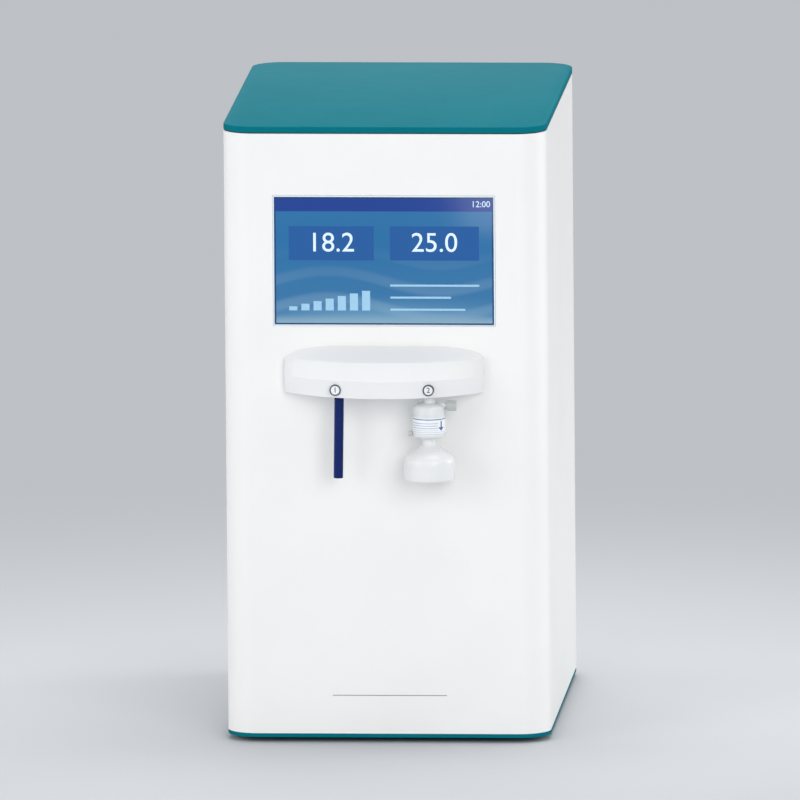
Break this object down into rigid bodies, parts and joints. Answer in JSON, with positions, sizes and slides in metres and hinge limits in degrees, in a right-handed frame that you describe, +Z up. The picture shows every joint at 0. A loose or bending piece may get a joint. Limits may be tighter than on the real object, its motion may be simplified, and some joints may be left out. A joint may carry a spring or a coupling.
{
  "type": "ultrapure water system",
  "caption": "Bench-top ultrapure water system with a colour display, a dispense hood with buttons, an outlet hose, a capsule filter with a bell and a hinged lid.",
  "frame": {"origin": "middle of the bounding box at the underside of the rubber feet", "axes": "+Z up along the height, +X to the right seen from the front, the front faces -Y"},
  "size_m": [0.32, 0.5128, 0.615],
  "materials": {
    "cabinet_white": "satin, smooth white moulding",
    "teal": "satin teal moulding",
    "foot_rubber": "matt rubber",
    "frame_metal": "powder coated",
    "hinge_steel": "brushed",
    "bezel": "pale gloss rim",
    "screen_glass": "glossy glass over a lit display",
    "lcd_can": "stamped can",
    "hood_white": "glossy white moulding",
    "button_ring": "dark grey ring",
    "button_cap": "white cap with a grey digit",
    "black_plastic": "black moulding",
    "spring_steel": "bright wire",
    "fitting_white": "white fittings",
    "hose_blue": "glossy navy hose",
    "capsule_clear": "translucent white moulding",
    "label_paper": "white label with blue lines",
    "membrane": "pleated membrane",
    "knob_grey": "pale grey moulding",
    "rocker_red": "red rocker",
    "collet_blue": "blue moulding",
    "motor_dark": "dark painted motor",
    "motor_alu": "dark cast motor",
    "pcb_green": "solder mask",
    "brass_post": "turned brass",
    "cartridge_white": "white cartridges",
    "uv_steel": "polished tube",
    "lamp_glass": "quartz tube",
    "valve_dark": "dark coils",
    "tube_clear": "translucent tube",
    "wire_dark": "wire sleeve"
  },
  "bodies": {
    "cabinet": {"base_plate": "teal", "rubber_feet": "foot_rubber", "chassis_frame": "frame_metal", "cartridge_shelf": "frame_metal", "front_fascia": "cabinet_white", "left_side_panel": "cabinet_white", "right_side_panel": "cabinet_white", "rear_panel": "cabinet_white", "hinge_rear_leaves": "hinge_steel", "hinge_pins": "hinge_steel", "display_bezel": "bezel", "display_glass": "screen_glass", "lcd_module": "lcd_can", "display_bracket": "frame_metal", "dispenser_hood": "hood_white", "hood_underplate": "hood_white", "button_rings": "button_ring", "button_switches": "black_plastic", "button_springs": "spring_steel", "hose_fitting": "fitting_white", "outlet_hose": "hose_blue", "capsule_nut": "fitting_white", "capsule_housing": "capsule_clear", "capsule_base": "capsule_clear", "capsule_label": "label_paper", "capsule_membrane": "membrane", "capsule_bell": "capsule_clear", "drain_plug": "knob_grey", "fan_frame": "black_plastic", "fan_guard": "hinge_steel", "power_inlet": "black_plastic", "switch_frame": "black_plastic", "water_ports": "fitting_white", "port_collets": "collet_blue", "booster_pump": "motor_alu", "booster_pump_head": "fitting_white", "recirculation_pump": "motor_dark", "power_supply": "motor_alu", "control_board": "pcb_green", "board_standoffs": "brass_post", "prefilters": "cartridge_white", "ro_vessel": "cartridge_white", "polishing_packs": "cartridge_white", "filter_heads": "collet_blue", "uv_housing": "uv_steel", "uv_lamp": "lamp_glass", "valve_manifold": "fitting_white", "solenoid_valves": "valve_dark", "resistivity_cell": "fitting_white", "internal_tubes": "tube_clear", "wiring_loom": "wire_dark", "case_screws": "hinge_steel"},
    "lid_assembly": {"lid": "teal", "lid_gasket": "foot_rubber", "hinge_lid_leaves": "hinge_steel"},
    "button_one": {"button_1": "button_cap"},
    "button_two": {"button_2": "button_cap"},
    "vent_valve": {"vent_knob": "knob_grey"},
    "rotor": {"fan_rotor": "black_plastic"},
    "rocker": {"power_rocker": "rocker_red"}
  },
  "joints": [
    {"name": "lid_hinge", "type": "hinge", "parent": "cabinet", "child": "lid_assembly", "pos_m": [0, 0.2402, 0.609], "axis": [-1, 0, 0], "range_deg": [0, 80]},
    {"name": "button_1_press", "type": "slide", "parent": "cabinet", "child": "button_one", "axis": [0, 1, 0], "range_m": [0, 0.0015], "stiffness_N_per_m": 800, "springref_m": -0.002, "deforming": ["button_springs"]},
    {"name": "button_2_press", "type": "slide", "parent": "cabinet", "child": "button_two", "axis": [0, 1, 0], "range_m": [0, 0.0015], "stiffness_N_per_m": 800, "springref_m": -0.002, "deforming": ["button_springs"]},
    {"name": "vent_turn", "type": "hinge", "parent": "cabinet", "child": "vent_valve", "pos_m": [0.0627, -0.2311, 0.3416], "axis": [1, 0, 0], "range_deg": [0, 90]},
    {"name": "fan_spin", "type": "hinge", "parent": "cabinet", "child": "rotor", "pos_m": [0, 0.2184, 0.475], "axis": [0, 1, 0], "continuous": true},
    {"name": "rocker_tip", "type": "hinge", "parent": "cabinet", "child": "rocker", "pos_m": [0.06, 0.2324, 0.06], "axis": [-1, 0, 0], "range_deg": [0, 18]}
  ]
}
